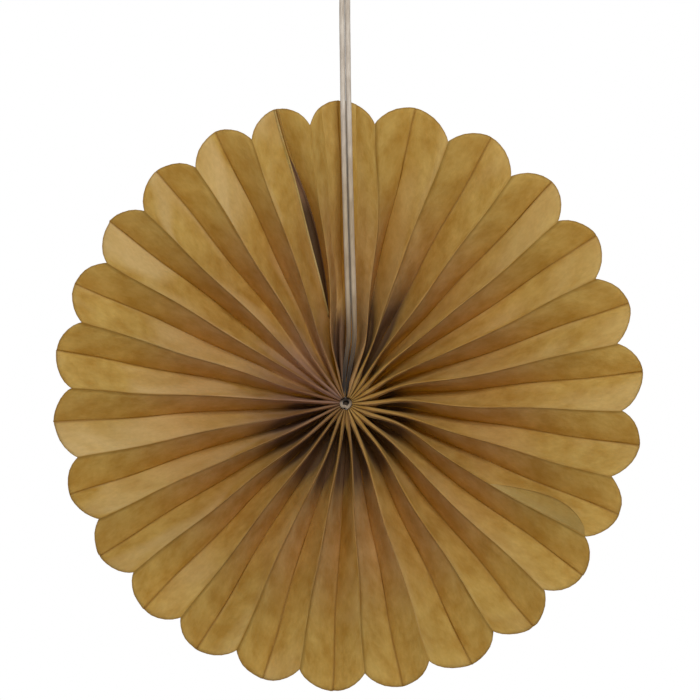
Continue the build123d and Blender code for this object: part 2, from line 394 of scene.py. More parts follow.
def all_folds():
    """The folds in order, from the lip of the joint once round to the valley beside it."""
    glooms = (JOINT_GLOOM, *VALLEY_GLOOMS, STRING_GLOOM, JOINT_GLOOM)
    mountains = [
        Fold(direction, turn, MOUNTAIN_SWAYS.get(direction, 0), 1, 1, 0.95 * min(glooms[place:place + 2]))
        for place, (direction, turn) in enumerate(zip(MOUNTAIN_DIRECTIONS, MOUNTAIN_TURNS))
    ]
    folds = mountains + list(JOINT_FOLDS + STRING_FOLDS)
    for direction, reach in zip(VALLEY_DIRECTIONS, VALLEY_GLOOMS):
        beside = sorted(mountains, key=lambda fold: abs(fold.direction - direction))[:2]
        shallow = SHALLOW_SHARE * max(0, facing(direction, SHALLOW_DIRECTION)) ** 2
        folds.append(Fold(direction, sum(fold.turn for fold in beside) / 2, 0, 0, shallow, reach))
    return sorted(folds, key=lambda fold: fold.direction)


def scallop_share(settings, closeness):
    """How far out the rounded end of a lobe has come, from 0 at its notch to 1 at its tip."""
    lowest = math.sqrt(1 - settings.roundness**2)
    return (math.sqrt(1 - (settings.roundness * (1 - closeness)) ** 2) - lowest) / (1 - lowest)


def rim_radius(settings, fold):
    tip = settings.fan_radius + settings.hub_offset * facing(fold.direction, settings.longest_direction)
    return tip - scallop_depth(settings, fold) * (1 - scallop_share(settings, 1 - fold.rim_front))


def scallop_depth(settings, fold):
    deeper = facing(fold.direction, settings.deepest_scallop_direction)
    return settings.scallop_depth + settings.scallop_swing * deeper


def fold_angle(fold, radius):
    """Direction of a fold at a radius, in radians. It is pushed off the string's slot close to the hub."""
    near = (radius / TURN_PEAK) ** 2
    turn = fold.turn * near * math.exp(1 - near)
    sway = fold.sway * math.exp(-(((radius - SWAY_PEAK) / SWAY_REACH) ** 2))
    wander = math.sin(fold.direction * 1.7 + radius / WANDER_WAVE) * math.sin(radius / WANDER_LONG_WAVE)
    from_slot = (fold.direction - SLOT_DIRECTION + 180) % 360 - 180
    push = SLOT_PUSH * math.exp(-abs(from_slot) / SLOT_SPREAD - (radius / SLOT_REACH) ** 2)
    return math.radians(fold.direction + turn + sway + WANDER * wander + math.copysign(push, from_slot))


def gloom(fold, radius):
    """How much painted shade a fold has at a radius: the paper is painted darker from 0.4 up to 1.4, and
    black from 13 up, which only the gap beside the lip of the joint does. Shut pleats at the hub show no
    depth."""
    shut = SHUT_RADIUS + SHUT_FURTHER * max(0, facing(fold.direction, SHUT_DIRECTION))
    shown = 1 - SHUT_LOSS * eased(radius, shut + OPENING, shut)
    dark = min((fold.gloom * MM / radius) ** 2, MOST_GLOOM) * shown
    if fold in JOINT_FOLDS[1:3]:
        start, widest, narrows, end = JOINT_GAP
        dark = max(dark, GAP_GLOOM * eased(radius, start, widest) * eased(radius, end, narrows))
    return dark


def blush(fold, radius):
    """How much painted shade, darker and redder, a fold has: it is there to the left of the hub."""
    return max(0, facing(fold.direction, LEFT_SHADE_DIRECTION)) * eased(radius, LEFT_SHADE_GONE, LEFT_SHADE_END)


def lee(fold, side):
    """Whether the panel after a mountain fold, or before it, faces down: after it on the left side of the fan
    and before it on the right side. Side is 1 for after and -1 for before."""
    return fold.rim_front * eased(-side * facing(fold.direction, LEE_DIRECTION), -LEE_BAND, LEE_BAND)


def fold_radius(settings, fold, share):
    """Distance from the hub, at a share of the fold's way from the hole to the rim."""
    return settings.hole_radius + (rim_radius(settings, fold) - settings.hole_radius) * share


def fold_point(settings, fold, radius):
    """A point of a fold at a distance from the hub."""
    half_pitch = radius * math.sin(math.pi / len(MOUNTAIN_DIRECTIONS))
    depth = math.sqrt(settings.pleat_width**2 - half_pitch**2)
    angle = fold_angle(fold, radius)
    back = depth * (0.5 - front_share(fold, radius))
    return HUB + Vector((radius * math.cos(angle), back, radius * math.sin(angle)))


def front_share(fold, radius):
    """How far forward a fold lies at a radius, from 0 for a valley to 1 for a mountain fold."""
    share = eased(radius, HUB_DEPTH_END, RIM_DEPTH_START)
    return fold.hub_front + (fold.rim_front - fold.hub_front) * share


def plumpness(fold):
    """How wide the crest of a fold is close to the hub, where 1 is usual."""
    return 1 + PLUMP_SWING * facing(fold.direction, PLUMP_DIRECTION)


def fold_lines(settings, folds):
    """The folds as rows of points, closer together at the hub, with what the tree reads about each point."""
    rows = settings.rows
    shares = [(row / (rows - 1)) ** 1.15 for row in range(rows)]
    mesh = bpy.data.meshes.new("fold lines")
    places = [(fold, fold_radius(settings, fold, share)) for fold in folds for share in shares]
    mesh.from_pydata([fold_point(settings, fold, radius) for fold, radius in places], [], [])
    facts = {
        "closeness": [1 - fold.rim_front for fold, radius in places],
        "scallop": [scallop_depth(settings, fold) for fold, radius in places],
        "front": [front_share(fold, radius) for fold, radius in places],
        "plump": [plumpness(fold) for fold, radius in places],
        "blush": [blush(fold, radius) for fold, radius in places],
        "brown": [eased(radius, INNER_SHADE_GONE, INNER_SHADE_END) for fold, radius in places],
    }
    for name, side in (("after", 1), ("before", -1)):
        # A mountain fold's painted shade lies only on its panel that faces down
        dimmed = [lee(fold, side) if fold.rim_front == 1 else 1 for fold, radius in places]
        facts[f"lee_{name}"] = [lee(fold, side) for fold, radius in places]
        facts[f"gloom_{name}"] = [gloom(*place) * share for place, share in zip(places, dimmed)]
    for name, values in facts.items():
        add_layer(mesh, name, values)
    return mesh


def add_layer(mesh, name, values):
    mesh.attributes.new(name, "FLOAT", "POINT").data.foreach_set("value", values)


def sheet_between(name, rows, strip):
    """A small sheet through rows of points, with its place on the flat strip as a UV map."""
    columns = len(rows[0])
    faces = [
        (start, start + 1, start + columns + 1, start + columns)
        for start in range(columns * (len(rows) - 1))
        if (start + 1) % columns
    ]
    mesh = bpy.data.meshes.new(name)
    mesh.from_pydata([place for row in rows for place in row], [], faces)
    flat = mesh.uv_layers.new(name="strip")
    for loop in mesh.loops:
        flat.data[loop.index].uv = strip[loop.vertex_index]
    mesh.polygons.foreach_set("use_smooth", [True] * len(mesh.polygons))
    add_layer(mesh, "front_share", [0.5] * len(mesh.vertices))
    return mesh


def lap_mesh(settings, folds, pleats):
    """The rounded end of a second length of paper, glued over the panel beside a mountain fold. Its free
    edge leaves the fold at the notch and comes back to it further in."""
    near, far = [fold for fold in folds if fold.direction in LAP_FOLDS]
    panel = BVHTree.FromPolygons(
        [vertex.co for vertex in pleats.vertices], [face.vertices for face in pleats.polygons]
    )
    steps, columns = 60, 9
    outer = rim_radius(settings, near) - LAP_INSET
    rows, strip, doubled = [], [], []
    for step in range(steps):
        inward = step / (steps - 1)
        radius = outer + (settings.lap_inner_radius - outer) * inward
        width = settings.lap_share * math.sin(math.pi * inward**LAP_SKEW) ** LAP_FULLNESS + LAP_TIP
        ends = [fold_point(settings, fold, radius) for fold in (near, far)]
        rows.append([])
        for column in range(columns):
            share = LAP_START + width * column / (columns - 1)
            place = ends[0].lerp(ends[1], share)
            place.y = panel.ray_cast((place.x, IN_FRONT, place.z), (0, 1, 0))[0].y - settings.lap_lift
            rows[-1].append(place)
            strip.append((share * settings.pleat_width, radius))
            doubled.append(LAP_SHADE + (LAP_INNER_SHADE - LAP_SHADE) * eased(inward, 0, 1))
    mesh = sheet_between("lap", rows, strip)
    add_layer(mesh, "doubled", doubled)
    return mesh


def lip_mesh(settings, folds):
    """The cut end of the strip at the glued joint: a narrow lip that stands up from the valley."""
    lip_fold = folds[0]
    steps, columns = 50, 3
    rows, strip = [], []
    for step in range(steps):
        share = LIP_START + (LIP_END - LIP_START) * step / (steps - 1)
        radius = fold_radius(settings, lip_fold, share)
        place = fold_point(settings, lip_fold, radius)
        angle = fold_angle(lip_fold, radius)
        across = Vector((math.sin(angle), 0, -math.cos(angle)))
        rows.append([])
        for column in range(columns):
            sideways = settings.lip_width * column / (columns - 1)
            rows[-1].append(place + across * sideways - Vector((0, settings.lip_rise, 0)))
            strip.append((sideways, radius))
    return sheet_between("lip", rows, strip)


def pleats_tree(material):
    """Paper between each fold and the next: the panels leave their folds in a small round crest or a wider
    round trough, bow slightly, end in a scallop and carry soft wrinkles."""
    tree, add, given = geometry_tree(
        "Pleated strip",
        [
            ("Folds", "NodeSocketInt", 52),
            ("Rows", "NodeSocketInt", 70),
            ("Columns", "NodeSocketInt", 10),
            ("Panel width", "NodeSocketFloat", 0.01),
            ("Strip width", "NodeSocketFloat", 0.077),
            ("Crest radius", "NodeSocketFloat", 0.0004),
            ("Rim crest radius", "NodeSocketFloat", 0.0001),
            ("Trough", "NodeSocketFloat", 0.5),
            ("Trough length", "NodeSocketFloat", 0.35),
            ("Roundness", "NodeSocketFloat", 0.86),
            ("Bow", "NodeSocketFloat", 0.0003),
            ("Wrinkle height", "NodeSocketFloat", 0.0002),
            ("Wrinkle size", "NodeSocketFloat", 0.008),
            ("Seed", "NodeSocketFloat", 3.0),
            ("Rim waver", "NodeSocketFloat", 0.0005),
            ("Hub", "NodeSocketVector", None),
        ],
    )
    cells = add(MATHS, given["Folds"], given["Columns"], operation="MULTIPLY")
    across = add(MATHS, cells, 1.0, operation="ADD")
    grid = add("GeometryNodeMeshGrid", 1.0, 1.0, across, given["Rows"])
    place = add("GeometryNodeInputPosition")
    x, y = add("ShaderNodeSeparateXYZ", place).node.outputs[:2]

    # Which panel a point is on, how far across it and how far out. Points gather beside the folds.
    half_up = add(MATHS, x, 0.5, operation="ADD")
    around = add(MATHS, half_up, given["Folds"], operation="MULTIPLY")
    nudged = add(MATHS, around, 0.0001, operation="ADD")
    panel = add(MATHS, nudged, operation="FLOOR")
    even = add(MATHS, around, panel, operation="SUBTRACT")
    wave = add(MATHS, even, math.tau, operation="MULTIPLY")
    wave = add(MATHS, wave, operation="SINE")
    share = add(MATHS, wave, -0.95 / math.tau, even, operation="MULTIPLY_ADD")
    out = add(MATHS, y, 0.5, operation="ADD")
    last_row = add(MATHS, given["Rows"], 1.0, operation="SUBTRACT")
    row = add(MATHS, out, last_row, operation="MULTIPLY")
    row = add(MATHS, row, operation="ROUND")

    # The fold on each side of the panel
    ends = []
    for step in (0.0, 1.0):
        number = add(MATHS, panel, step, operation="ADD")
        number = add(MATHS, number, given["Folds"], operation="MODULO")
        index = add(MATHS, number, given["Rows"], row, operation="MULTIPLY_ADD")
        found = {}
        for name in (
            "place", "closeness", "scallop", "front", "plump", "blush", "brown",
            "gloom_after", "gloom_before", "lee_after", "lee_before",
        ):
            value, kind = place, "FLOAT_VECTOR"
            if name != "place":
                value = add("GeometryNodeInputNamedAttribute", name, data_type="FLOAT")
                kind = "FLOAT"
            found[name] = add(
                "GeometryNodeSampleIndex", given["Geometry"], value, index,
                data_type=kind, domain="POINT",
            )
        ends.append(found)
    near, far = ends

    # Crests: close to a fold the paper turns through a small radius before it runs straight. Mountain folds
    # sharpen from 7% to 30% of the way out, and the round troughs of the valleys from 24% to 40%.
    gap = add(VECTORS, near["place"], far["place"], operation="SUBTRACT")
    gap = add(VECTORS, gap, (1, 0, 1), operation="MULTIPLY")
    gap = add(VECTORS, gap, operation="LENGTH").node.outputs["Value"]
    widest = add(MATHS, given["Crest radius"], near["plump"], operation="MULTIPLY")
    flatter = add(RANGE, out, 0.07, 0.3, widest, given["Rim crest radius"])
    crest = add(MATHS, flatter, gap, operation="DIVIDE")
    crest = add(MATHS, crest, 0.9, operation="MINIMUM")
    trough = add(RANGE, out, 0.24, 0.4, given["Trough"], 0.0, interpolation_type="SMOOTHSTEP")
    room = add(MATHS, 0.95, crest, operation="SUBTRACT")
    trough = add(MATHS, trough, room, operation="MINIMUM")
    crest_length = add(MATHS, given["Crest radius"], given["Panel width"], operation="DIVIDE")
    crest_length = add(MATHS, crest_length, 1.4, operation="MULTIPLY")
    crests = [add(MIX, end["front"], trough, crest) for end in ends]
    lengths = [add(MIX, end["front"], given["Trough length"], crest_length) for end in ends]
    rises = []
    for side, length in zip((share, add(MATHS, 1.0, share, operation="SUBTRACT")), lengths):
        turned = add(MATHS, side, length, operation="DIVIDE")
        turned = add(MATHS, turned, 1.0, operation="MINIMUM")
        turned = add(MATHS, turned, math.pi / 2, operation="MULTIPLY")
        rises.append(add(MATHS, turned, operation="SINE"))
    straight = add(MATHS, 1.0, crests[0], operation="SUBTRACT")
    straight = add(MATHS, straight, crests[1], operation="SUBTRACT")
    lateral = add(MATHS, straight, share, operation="MULTIPLY")
    lateral = add(MATHS, crests[0], rises[0], lateral, operation="MULTIPLY_ADD")
    fallen = add(MATHS, 1.0, rises[1], operation="SUBTRACT")
    lateral = add(MATHS, crests[1], fallen, lateral, operation="MULTIPLY_ADD")
    flat = add(MIX, lateral, near["place"], far["place"], data_type="VECTOR")
    deep = add(MIX, share, near["place"], far["place"], data_type="VECTOR")
    flat_x, _, flat_z = add("ShaderNodeSeparateXYZ", flat).node.outputs
    deep_y = add("ShaderNodeSeparateXYZ", deep).node.outputs[1]
    arch = add(MATHS, share, math.pi, operation="MULTIPLY")
    arch = add(MATHS, arch, operation="SINE")
    arch = add(MATHS, arch, out, operation="MULTIPLY")
    arch = add(MATHS, arch, given["Bow"], operation="MULTIPLY")
    bowed_y = add(MATHS, deep_y, arch, operation="SUBTRACT")
    on_panel = add("ShaderNodeCombineXYZ", flat_x, bowed_y, flat_z)

    # Scallop: between a notch and a tip the rim is round
    rounds = []
    lowest = add(MATHS, given["Roundness"], given["Roundness"], operation="MULTIPLY")
    lowest = add(MATHS, 1.0, lowest, operation="SUBTRACT")
    lowest = add(MATHS, lowest, operation="SQRT")
    lift = add(MATHS, 1.0, lowest, operation="SUBTRACT")
    closeness = add(MIX, share, near["closeness"], far["closeness"])
    for value in (closeness, near["closeness"], far["closeness"]):
        left = add(MATHS, 1.0, value, operation="SUBTRACT")
        left = add(MATHS, left, given["Roundness"], operation="MULTIPLY")
        square = add(MATHS, left, left, operation="MULTIPLY")
        square = add(MATHS, 1.0, square, operation="SUBTRACT")
        height = add(MATHS, square, operation="SQRT")
        height = add(MATHS, height, lowest, operation="SUBTRACT")
        rounds.append(add(MATHS, height, lift, operation="DIVIDE"))
    chord = add(MIX, share, rounds[1], rounds[2])
    belly = add(MATHS, rounds[0], chord, operation="SUBTRACT")
    belly = add(MATHS, belly, near["scallop"], operation="MULTIPLY")
    waver = add("ShaderNodeTexNoise", around, noise_dimensions="1D", named={"Scale": 2.3, "Detail": 1.0})
    waver = add(MATHS, waver, 0.5, operation="SUBTRACT")
    belly = add(MATHS, waver, given["Rim waver"], belly, operation="MULTIPLY_ADD")
    outer = add(MATHS, out, 5.0, operation="POWER")
    belly = add(MATHS, belly, outer, operation="MULTIPLY")
    spoke = add(VECTORS, on_panel, given["Hub"], operation="SUBTRACT")
    spoke = add(VECTORS, spoke, (1, 0, 1), operation="MULTIPLY")
    spoke = add(VECTORS, spoke, operation="NORMALIZE")
    outward = add(VECTORS, spoke, named={"Scale": belly}, operation="SCALE")

    along = add(MATHS, around, given["Panel width"], operation="MULTIPLY")
    radial = add(MATHS, out, given["Strip width"], operation="MULTIPLY")
    sheet = add("ShaderNodeCombineXYZ", along, radial, 0.0)
    stored = add(
        "GeometryNodeStoreNamedAttribute", grid, named={"Name": "strip", "Value": sheet},
        data_type="FLOAT2", domain="CORNER",
    )
    facts = {
        "out": out,
        "leeward": add(MIX, share, near["lee_after"], far["lee_before"]),
        "downhill": add(MATHS, near["lee_after"], far["lee_before"], operation="ADD"),
    }
    for name, fact in (("front_share", "front"), ("blushing", "blush"), ("inner", "brown")):
        facts[name] = add(MIX, share, near[fact], far[fact])
    depth_shade = add(MIX, share, near["gloom_after"], far["gloom_before"])
    # The painted shade leaves the crests themselves light
    off_crest = add(RANGE, facts["front_share"], 0.86, 0.93, 1.0, 0.0)
    facts["gloomy"] = add(MATHS, depth_shade, off_crest, operation="MULTIPLY")
    for name, value in facts.items():
        stored = add(
            "GeometryNodeStoreNamedAttribute", stored, named={"Name": name, "Value": value},
            data_type="FLOAT", domain="POINT",
        )
    laid = add("GeometryNodeSetPosition", stored, named={"Position": on_panel, "Offset": outward})
    closed = add("GeometryNodeMergeByDistance", laid, named={"Distance": 1e-6})

    # Wrinkles, along the paper's own normal. They are long, because they fan out from the hub.
    wrinkle_scale = add(MATHS, 1.0, given["Wrinkle size"], operation="DIVIDE")
    off_hub = add(VECTORS, place, given["Hub"], operation="SUBTRACT")
    sideways = add(VECTORS, off_hub, (1, 0, 1), operation="MULTIPLY")
    sideways = add(VECTORS, sideways, operation="NORMALIZE")
    fanned = add(VECTORS, sideways, named={"Scale": given["Strip width"]}, operation="SCALE")
    drawn = add(VECTORS, off_hub, named={"Scale": 0.35}, operation="SCALE")
    fanned = add(VECTORS, fanned, drawn, operation="ADD")
    noise = add(
        "ShaderNodeTexNoise", fanned, given["Seed"], noise_dimensions="4D",
        named={"Scale": wrinkle_scale, "Detail": 2.0, "Roughness": 0.45},
    )
    centred = add(MATHS, noise, 0.5, operation="SUBTRACT")
    height = add(MATHS, centred, given["Wrinkle height"], operation="MULTIPLY")
    height = add(MATHS, height, 2.0, operation="MULTIPLY")
    normal = add("GeometryNodeInputNormal")
    push = add(VECTORS, normal, named={"Scale": height}, operation="SCALE")
    wrinkled = add("GeometryNodeSetPosition", closed, named={"Offset": push})
    finish_tree(tree, wrinkled, material)
    return tree


def thickened(mesh, thickness):
    """A thin sheet as a closed shell of its thickness."""
    host = bpy.data.objects.new("sheet", mesh)
    bpy.context.scene.collection.objects.link(host)
    solidify = host.modifiers.new("Thickness", "SOLIDIFY")
    solidify.thickness = thickness
    solidify.offset = 0
    shell = plain_mesh(host)
    bpy.data.objects.remove(host)
    # The painted shade between the pleats is kept on the front of the sheet only
    if "gloomy" in shell.attributes:
        gloomy = shell.attributes["gloomy"].data
        for vertex, value in zip(shell.vertices, gloomy):
            value.value *= vertex.normal.y < 0
    return shell


# Shape of the string

# The doubled string by the point between its strands, from the hub up: across, back from its hanging plane,
# up from the hub and half the distance between the strands, in millimetres. It lies in the open valley
# first, and leans a little to the left further up.
STRING_PAIR = (
    (-0.2, 4.6, 3.2, 0.45),
    (0.1, 4.4, 7.5, 0.6),
    (0.95, 4, 12.5, 0.8),
    (1.55, 3.6, 17, 0.72),
    (1.3, 2.2, 25, 0.72),
    (1.05, 0.6, 34, 0.72),
    (0.6, 0, 48, 0.72),
    (-0.1, 0, 79, 0.72),
    (-0.35, 0, 102.6, 0.72),
    (-0.25, 0, 111.9, 0.72),
    (0, 0, 119.9, 5.5),
    (0, 0, 129.9, 4),
)
# The bend of the doubled string at the hub, from its left strand to its right one: right of the hub, back
# from the string's plane and up
HUB_BEND = (
    (-0.8, 3.6, 1.5), (-1.2, 2.0, 0.4), (-1.25, 0.5, -0.3), (-0.9, 0.1, -0.9), (-0.2, 0.9, -0.7),
    (0.25, 0.1, -1.2), (0.75, 0.9, -0.8), (1.25, 1.7, 0.0), (0.8, 3.6, 1.4),
)
# The turn of string round the hub, deeper in, and the string that fills the hole through the pleats, which
# its material paints nearly black as shade
HUB_TURN = (
    (0.2, 2.8, 1.2), (-0.9, 2.4, 1.0), (-1.35, 2.2, 0.1), (-1.0, 2.3, -0.8), (0.0, 2.5, -1.2),
    (0.9, 2.2, -0.9), (1.35, 1.6, 0.0), (1.1, 1.9, 0.9), (0.2, 2.8, 1.2),
)
HUB_CORE = ((0, 3.2, 0), (0, 5, 0), (0, 8, 0), (0, 10.8, 0))
# The knot winds round both strands. Its spline cuts inside its points, so these stand out by this share.
KNOT_TURNS, KNOT_STEPS, KNOT_SPREAD = 3, 10, 1.06
# Shares of the distance between the strands: the groove's painted shade is darkest up to the first, and gone
# at the second
GROOVE_FULL, GROOVE_GONE = 0.55, 0.9


def from_hub(right, back, up):
    """A point given in millimetres, right of the hub, back from the string's hanging plane and up."""
    return (HUB.x + right * MM, back * MM, HUB.z + up * MM)


def nurbs_points(name, points):
    """A smooth line through a route, as the points of its curve."""
    curve = bpy.data.curves.new(name, "CURVE")
    curve.dimensions = "3D"
    curve.resolution_u = 24
    spline = curve.splines.new("NURBS")
    spline.points.add(len(points) - 1)
    for control, point in zip(spline.points, points):
        control.co = (*point, 1)
    spline.order_u = 3
    spline.use_endpoint_u = True
    host = bpy.data.objects.new(name, curve)
    bpy.context.scene.collection.objects.link(host)
    line = plain_mesh(host)
    bpy.data.objects.remove(host)
    return line


def centre_at(strand, height):
    """The middle of a strand at a height. The points of the strand go up."""
    above = min(max(bisect(strand, height, key=lambda point: point.z), 1), len(strand) - 1)
    low, high = strand[above - 1], strand[above]
    return low.lerp(high, (height - low.z) / (high.z - low.z))


def mark_groove(mesh, path, top):
    """Stores how deep each point of the doubled string lies between its strands, up to its knot, for the
    groove's painted shade.
    """
    halfway = len(path) // 2
    sides = (path[:halfway], path[:halfway - 1:-1])
    strands = [[point for point in side if point.z < top] for side in sides]
    depths = []
    for vertex in mesh.vertices:
        centres = [centre_at(strand, vertex.co.z) for strand in strands]
        apart = (centres[0] - centres[1]).length
        far = max((vertex.co - centre).length for centre in centres) / apart
        depths.append(eased(far, GROOVE_GONE, GROOVE_FULL) if vertex.co.z < top else 0)
    add_layer(mesh, "groove", depths)


def strand_tree(material):
    """Plied string along a line: a tube with a few rounded plies that turn round it."""
    tree, add, given = geometry_tree(
        "Plied string",
        [
            ("Diameter", "NodeSocketFloat", 0.0014),
            ("Plies", "NodeSocketInt", 3),
            ("Ply depth", "NodeSocketFloat", 0.025),
            ("Twist length", "NodeSocketFloat", 0.06),
            ("Step", "NodeSocketFloat", 0.00035),
            ("Sides", "NodeSocketInt", 18),
            ("Tight end", "NodeSocketVector", None),
            ("Tightness", "NodeSocketFloat", 1.0),
            ("Tight length", "NodeSocketFloat", 0.027),
        ],
    )
    line = add("GeometryNodeMeshToCurve", given["Geometry"])
    line = add("GeometryNodeResampleCurve", line, mode="LENGTH", named={"Length": given["Step"]})
    travelled = add("GeometryNodeSplineParameter").node.outputs["Length"]
    turns = add(MATHS, travelled, given["Twist length"], operation="DIVIDE")
    tilt = add(MATHS, turns, math.tau, operation="MULTIPLY")
    line = add("GeometryNodeSetCurveTilt", line, named={"Tilt": tilt})
    line = add(
        "GeometryNodeStoreNamedAttribute", line, named={"Name": "travelled", "Value": travelled},
        data_type="FLOAT", domain="POINT",
    )
    place = add("GeometryNodeInputPosition")
    away = add(VECTORS, place, given["Tight end"], operation="DISTANCE").node.outputs["Value"]
    slim = add(RANGE, away, 0.003, given["Tight length"], given["Tightness"], 1.0)
    radius = add(MATHS, given["Diameter"], 2.0, operation="DIVIDE")
    ring = add("GeometryNodeCurvePrimitiveCircle", given["Sides"], named={"Radius": radius})
    x, y = add("ShaderNodeSeparateXYZ", place).node.outputs[:2]
    angle = add(MATHS, y, x, operation="ARCTAN2")
    lobes = add(MATHS, angle, given["Plies"], operation="MULTIPLY")
    lobes = add(MATHS, lobes, operation="COSINE")
    depth = add(MATHS, given["Ply depth"], lobes, 1.0, operation="MULTIPLY_ADD")
    plied = add(VECTORS, place, named={"Scale": depth}, operation="SCALE")
    ring = add("GeometryNodeSetPosition", ring, named={"Position": plied})
    round_it = add(MATHS, angle, radius, operation="MULTIPLY")
    ring = add(
        "GeometryNodeStoreNamedAttribute", ring, named={"Name": "round", "Value": round_it},
        data_type="FLOAT", domain="POINT",
    )
    tube = add("GeometryNodeCurveToMesh", line, ring, named={"Scale": slim, "Fill Caps": True})
    parts = [
        add("GeometryNodeInputNamedAttribute", name, data_type="FLOAT")
        for name in ("round", "travelled")
    ]
    lay = add("ShaderNodeCombineXYZ", *parts, 0.0)
    tube = add(
        "GeometryNodeStoreNamedAttribute", tube, named={"Name": "cord", "Value": lay},
        data_type="FLOAT2", domain="CORNER",
    )
    finish_tree(tree, tube, material)
    return tree


# Settings


def length_setting(name, description, millimetres, **limits):
    """A length of a property group, given in millimetres and kept in metres"""
    return bpy.props.FloatProperty(
        name=name, description=description, default=millimetres * MM, unit="LENGTH", subtype="DISTANCE",
        **limits,
    )


def colour_setting(name, description, colour):
    """A colour of a property group, from its hexadecimal form"""
    return bpy.props.FloatVectorProperty(
        name=name, description=description, default=linear(colour), subtype="COLOR", min=0, max=1
    )


class RosettePaper(bpy.types.PropertyGroup):
    """Sizes and colours of the folded paper"""

    fan_radius: length_setting("Fan radius", "Hub to the tip of a lobe, on average", 76.5, min=0.01)
    hub_offset: length_setting("Hub offset", "How far off the middle of its outline the fan is gathered", 1.9)
    longest_direction: bpy.props.FloatProperty(
        name="Longest lobe", description="Direction of the longest lobe, in degrees from the right",
        default=72,
    )
    scallop_depth: length_setting(
        "Scallop depth", "From the tips of the lobes in to their notches, on average", 5.45, min=0
    )
    scallop_swing: length_setting("Scallop swing", "How much deeper the deepest scallop is than that", 0.6)
    deepest_scallop_direction: bpy.props.FloatProperty(
        name="Deepest scallop", description="Direction of the deepest scallop, in degrees from the right",
        default=50,
    )
    pleat_width: length_setting(
        "Pleat width", "Width of a flat panel between two folds", (FAN_HIGH[1] - FAN_LOW[1]) / MM - 0.15,
        min=0.001,
    )
    hole_radius: length_setting("Hole radius", "Inner end of the folds", 1.6)
    roundness: bpy.props.FloatProperty(
        name="Roundness", description="Share of a half circle's width that the end of a lobe takes up",
        default=0.86, min=0.1, max=0.99,
    )
    crest_radius: length_setting("Crest radius", "Radius of a mountain fold at the hub", 0.62)
    rim_crest_radius: length_setting("Rim crest radius", "Radius of a mountain fold further out", 0.02)
    trough: bpy.props.FloatProperty(
        name="Trough", description="Share of a valley's width that its round bottom takes up near the hub",
        default=0.5, min=0, max=0.9,
    )
    thickness: length_setting(
        "Thickness", "Thickness of the paper, drawn slightly heavy so that its edge shows", 0.13
    )
    wrinkle_height: length_setting("Wrinkle height", "Height of the soft wrinkles", 0.32)
    wrinkle_size: length_setting("Wrinkle size", "Distance between the soft wrinkles", 8)
    lap_share: bpy.props.FloatProperty(
        name="Lap width", description="How far the lap reaches over its panel, as a share of its width",
        default=0.66,
    )
    lap_inner_radius: length_setting("Lap inner radius", "Where the lap's edge comes back to its fold", 42.6)
    lap_lift: length_setting("Lap lift", "How far the lap stands off the panel under it", 0.17)
    lip_rise: length_setting("Lip rise", "How far the lip stands in front of its fold", 0.25)
    lip_width: length_setting("Lip width", "Width of the lip at the glued joint", 0.45)
    rows: bpy.props.IntProperty(name="Rows", description="Points along each fold", default=70, min=4)
    columns: bpy.props.IntProperty(name="Columns", description="Faces across each panel", default=10, min=2)
    paper: colour_setting("Paper", "Colour of the paper", "#D2BB6E")
    paper_dark: colour_setting("Paper clouds", "Colour of its darker clouds", "#B7984E")
    # The glaze colour is also a painted sheen on panels that face up
    paper_glaze_sheen: colour_setting("Glaze", "Colour where the glaze is thick", "#DCC98E")
    # Painted shade in the creases, and the colour of the cut rim
    paper_crease_shade_and_rim: colour_setting("Crease", "Colour of rubbed creases and the cut rim", "#7A5A36")
    # Painted shade deep between the pleats near the hub
    paper_depth_shade: colour_setting("Depth", "Colour deep between the pleats near the hub", "#5A4038")
    # Painted shade of two layers of paper
    paper_doubled_shade: colour_setting("Doubled paper", "Colour where two layers lie on each other", "#AD9858")
    paper_glow: colour_setting("Paper glow", "Colour of light that comes through it", "#D6AD32")
    paper_translucency: bpy.props.FloatProperty(
        name="Translucency", description="Share of the light that goes through the paper",
        default=0.48, min=0, max=1,
    )


class RosetteString(bpy.types.PropertyGroup):
    """Sizes and colours of the string"""

    diameter: length_setting("Diameter", "Diameter of the string", 1.4)
    tie_diameter: length_setting("Tie diameter", "Diameter where it is pulled tight round the hub", 0.9)
    core_diameter: length_setting(
        "Core diameter", "Diameter of the string that fills the hole through the pleats", 2.9
    )
    tightness: bpy.props.FloatProperty(
        name="Tightness", description="Share of its diameter that is left where it is tight at the hub",
        default=0.5, min=0.1, max=1,
    )
    string: colour_setting("String", "Colour of the string", "#D6CBBD")
    string_shade: colour_setting("String shade", "Colour between its yarns", "#B3A595")


# Pieces


def string_material(context):
    found = bpy.data.materials.get("Plied cotton string")
    return found or cotton_string(context.scene.rosette_string)


def string_mesh(context, name, lines, diameter, tightness=1.0):
    """Plied string along the points of a line, thinner by its tightness close to the hub."""
    tree = bpy.data.node_groups.get("Plied string") or strand_tree(string_material(context))
    return grown_mesh(name, lines, tree, {"Diameter": diameter, "Tight end": HUB[:], "Tightness": tightness})


class ROSETTE_OT_hanging_string(bpy.types.Operator):
    """Runs the doubled string up from the hub, round its loop and down again"""

    bl_idname = "rosette.hanging_string"
    bl_label = "Hanging string"

    def execute(self, context):
        settings = context.scene.rosette_string
        points = [
            from_hub(across - side * gap, back, up)
            for side in (1, -1)
            for across, back, up, gap in STRING_PAIR[::side]
        ]
        line = nurbs_points("string route", points)
        path = [vertex.co.copy() for vertex in line.vertices]
        mesh = string_mesh(context, "string route", line, settings.diameter, settings.tightness)
        mark_groove(mesh, path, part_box("top_knot")[0][2])
        piece = new_piece("doubled_string", mesh, ["hanging_string"])
        return {"FINISHED"}


